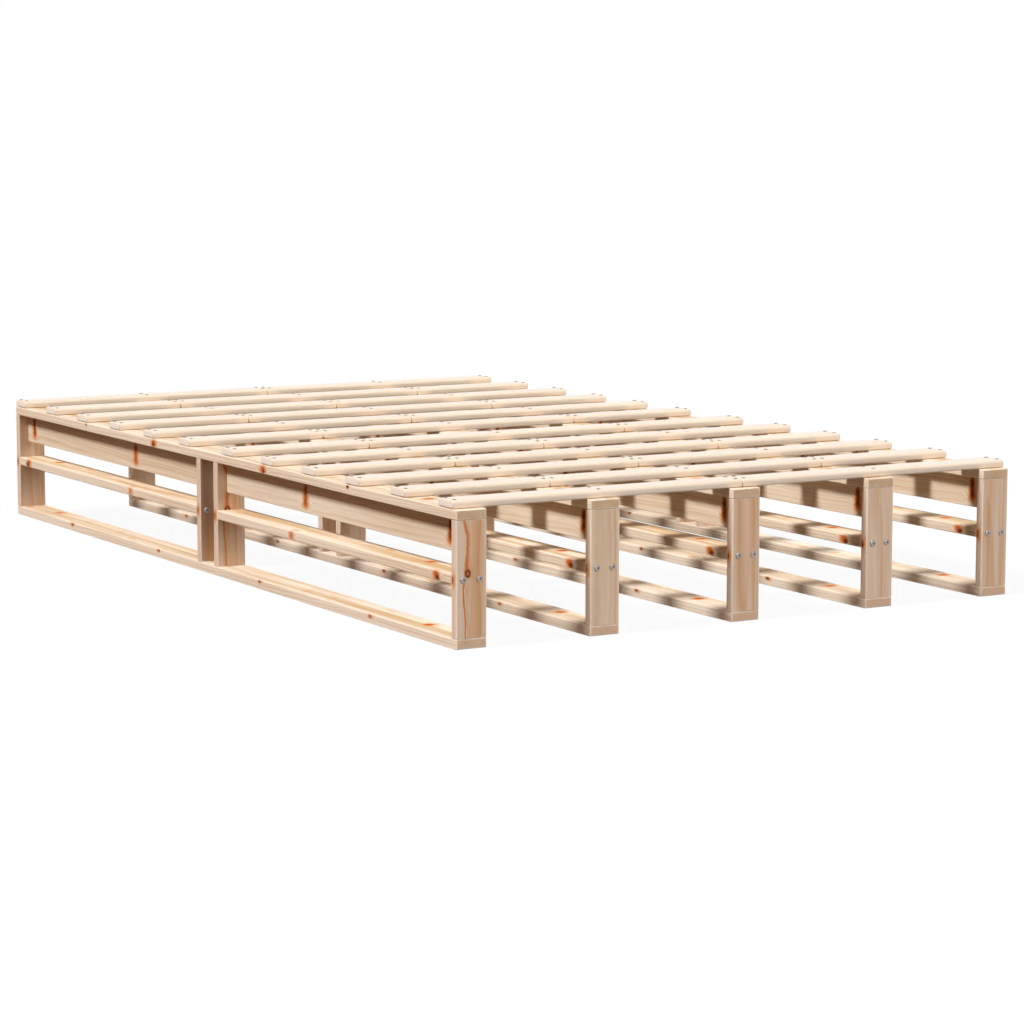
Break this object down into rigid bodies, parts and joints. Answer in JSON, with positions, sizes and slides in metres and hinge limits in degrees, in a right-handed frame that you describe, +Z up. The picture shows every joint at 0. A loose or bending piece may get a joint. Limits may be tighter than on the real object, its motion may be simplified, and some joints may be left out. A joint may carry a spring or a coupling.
{
  "type": "platform bed frame",
  "caption": "Low slatted pine bed base: parallel board frames with posts and rails, and rounded slats screwed across them",
  "frame": {"origin": "on the floor, under the middle of the bed", "axes": "+Z up, +Y toward the head end, +X to the right as seen from the foot end"},
  "size_m": [1.2, 2.007, 0.2573],
  "materials": {
    "frame_pine": "planed untreated pine, honey and tan, with knots and resin streaks",
    "slat_pine": "planed untreated pale pine, cream white"
  },
  "bodies": {
    "root": {"left_outer_bottom_board": "frame_pine", "left_outer_top_beam": "frame_pine", "left_outer_foot_post": "frame_pine", "left_outer_foot_side_centre_post": "frame_pine", "left_outer_head_side_centre_post": "frame_pine", "left_outer_head_post": "frame_pine", "left_outer_foot_rail": "frame_pine", "left_outer_head_rail": "frame_pine", "left_inner_bottom_board": "frame_pine", "left_inner_top_beam": "frame_pine", "left_inner_foot_post": "frame_pine", "left_inner_foot_side_centre_post": "frame_pine", "left_inner_head_side_centre_post": "frame_pine", "left_inner_head_post": "frame_pine", "left_inner_foot_rail": "frame_pine", "left_inner_head_rail": "frame_pine", "centre_bottom_board": "frame_pine", "centre_top_beam": "frame_pine", "centre_foot_post": "frame_pine", "centre_foot_side_centre_post": "frame_pine", "centre_head_side_centre_post": "frame_pine", "centre_head_post": "frame_pine", "centre_foot_rail": "frame_pine", "centre_head_rail": "frame_pine", "right_inner_bottom_board": "frame_pine", "right_inner_top_beam": "frame_pine", "right_inner_foot_post": "frame_pine", "right_inner_foot_side_centre_post": "frame_pine", "right_inner_head_side_centre_post": "frame_pine", "right_inner_head_post": "frame_pine", "right_inner_foot_rail": "frame_pine", "right_inner_head_rail": "frame_pine", "right_outer_bottom_board": "frame_pine", "right_outer_top_beam": "frame_pine", "right_outer_foot_post": "frame_pine", "right_outer_foot_side_centre_post": "frame_pine", "right_outer_head_side_centre_post": "frame_pine", "right_outer_head_post": "frame_pine", "right_outer_foot_rail": "frame_pine", "right_outer_head_rail": "frame_pine", "slat_01_left_half": "slat_pine", "slat_01_right_half": "slat_pine", "slat_02": "slat_pine", "slat_03_left_half": "slat_pine", "slat_03_right_half": "slat_pine", "slat_04": "slat_pine", "slat_05_left_half": "slat_pine", "slat_05_right_half": "slat_pine", "slat_06": "slat_pine", "slat_07": "slat_pine", "slat_08_left_half": "slat_pine", "slat_08_right_half": "slat_pine", "slat_09": "slat_pine", "slat_10_left_half": "slat_pine", "slat_10_right_half": "slat_pine", "slat_11": "slat_pine", "slat_12_left_half": "slat_pine", "slat_12_right_half": "slat_pine"}
  },
  "joints": []
}
